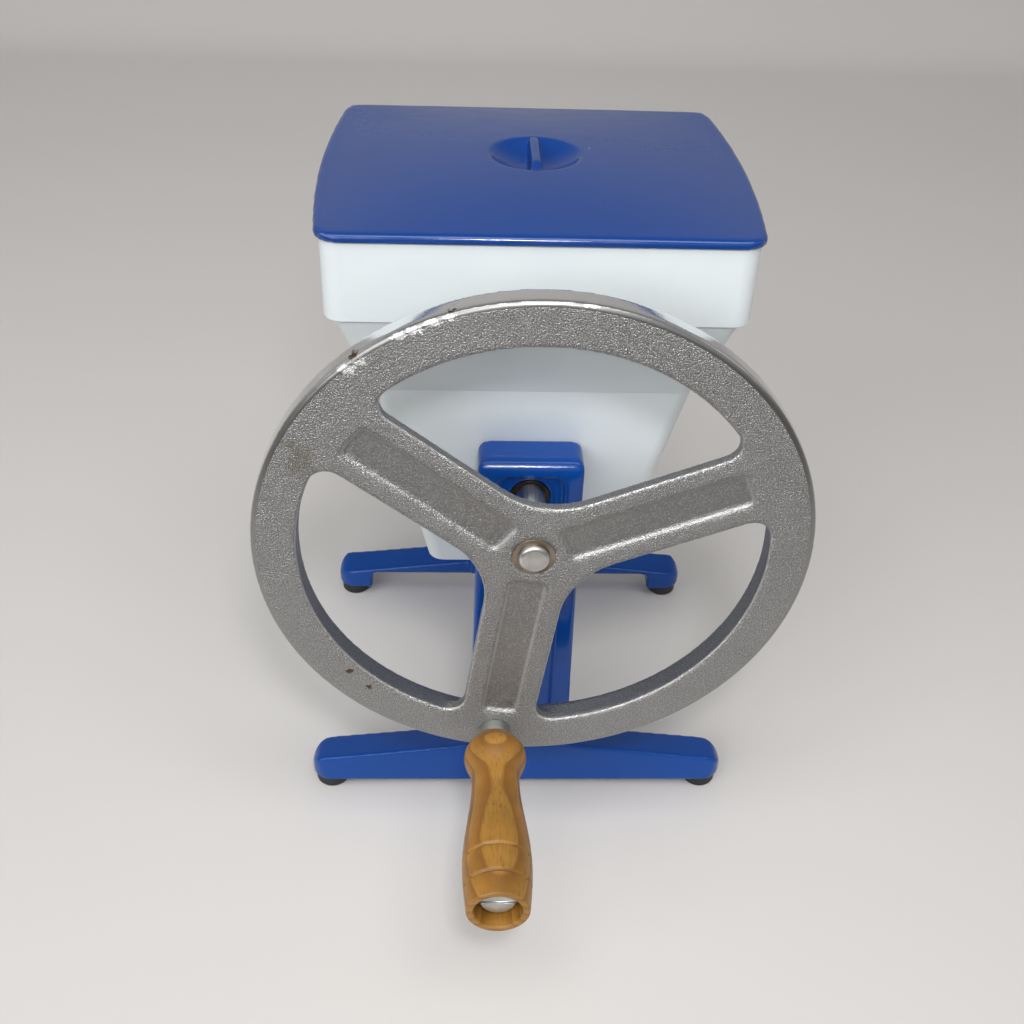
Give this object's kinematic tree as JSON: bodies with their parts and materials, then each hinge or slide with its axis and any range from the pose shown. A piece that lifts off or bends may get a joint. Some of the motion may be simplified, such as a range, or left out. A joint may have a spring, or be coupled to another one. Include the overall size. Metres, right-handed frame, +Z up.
{
  "type": "hand crank ice crusher",
  "caption": "Hand crank ice crusher: flywheel with turned wooden grip drives toothed blades in a tapered hopper with a lift-off lid, on two stands.",
  "frame": {"origin": "centre of the bounding box in X and Y, at the underside of the rubber feet", "axes": "+Z up, +X to the right as seen from the crank, +Y away from the crank along the shaft"},
  "size_m": [0.28, 0.3632, 0.374],
  "materials": {
    "stand_blue": "gloss",
    "lid_blue": "gloss",
    "hopper_white": "satin",
    "housing_white": "satin",
    "wheel_iron": "zinc plated, rough face, polished edge",
    "shaft_steel": "turned",
    "zinc_steel": "zinc plated",
    "blade_steel": "ground",
    "bearing_bronze": "satin",
    "grip_wood": "varnished",
    "foot_rubber": "matte"
  },
  "bodies": {
    "stand": {"front_stand": "stand_blue", "rear_stand": "stand_blue", "front_bearing_bush": "bearing_bronze", "rear_bearing_bush": "bearing_bronze", "front_left_foot": "foot_rubber", "front_right_foot": "foot_rubber", "rear_left_foot": "foot_rubber", "rear_right_foot": "foot_rubber", "foot_screws": "zinc_steel", "frame_bolts": "zinc_steel", "crusher_housing": "housing_white", "hopper_funnel": "hopper_white", "hopper_collar": "hopper_white", "comb_screws": "zinc_steel", "funnel_screws": "zinc_steel", "collar_screws": "zinc_steel", "left_breaker_comb": "blade_steel", "right_breaker_comb": "blade_steel"},
    "crank": {"crank_shaft": "shaft_steel", "front_thrust_washer": "zinc_steel", "rear_thrust_washer": "zinc_steel", "shaft_end_washer": "zinc_steel", "retaining_ring": "shaft_steel", "flywheel": "wheel_iron", "hub_washer": "zinc_steel", "hub_key": "shaft_steel", "hub_set_screw": "shaft_steel", "handle_spacer": "zinc_steel", "handle_spindle": "zinc_steel", "handle_lock_nut": "zinc_steel", "crushing_blade_1": "blade_steel", "crushing_blade_2": "blade_steel", "crushing_blade_3": "blade_steel", "crushing_blade_4": "blade_steel", "crushing_blade_5": "blade_steel", "crushing_blade_6": "blade_steel", "blade_spacer_1": "shaft_steel", "blade_spacer_2": "shaft_steel", "blade_spacer_3": "shaft_steel", "blade_spacer_4": "shaft_steel", "blade_spacer_5": "shaft_steel", "blade_spacer_6": "shaft_steel", "blade_spacer_7": "shaft_steel"},
    "grip": {"handle_grip": "grip_wood"},
    "lid": {"hopper_lid": "lid_blue"}
  },
  "joints": [
    {"name": "crank_turn", "type": "hinge", "parent": "stand", "child": "crank", "pos_m": [0, -0.02765, 0.218], "axis": [0, 1, 0], "continuous": true},
    {"name": "handle_spin", "type": "hinge", "parent": "crank", "child": "grip", "pos_m": [-0.01688, -0.12, 0.09314], "axis": [0, 1, 0], "continuous": true},
    {"name": "lid_lift", "type": "slide", "parent": "stand", "child": "lid", "axis": [0, 0, 1], "range_m": [0, 0.12]}
  ]
}
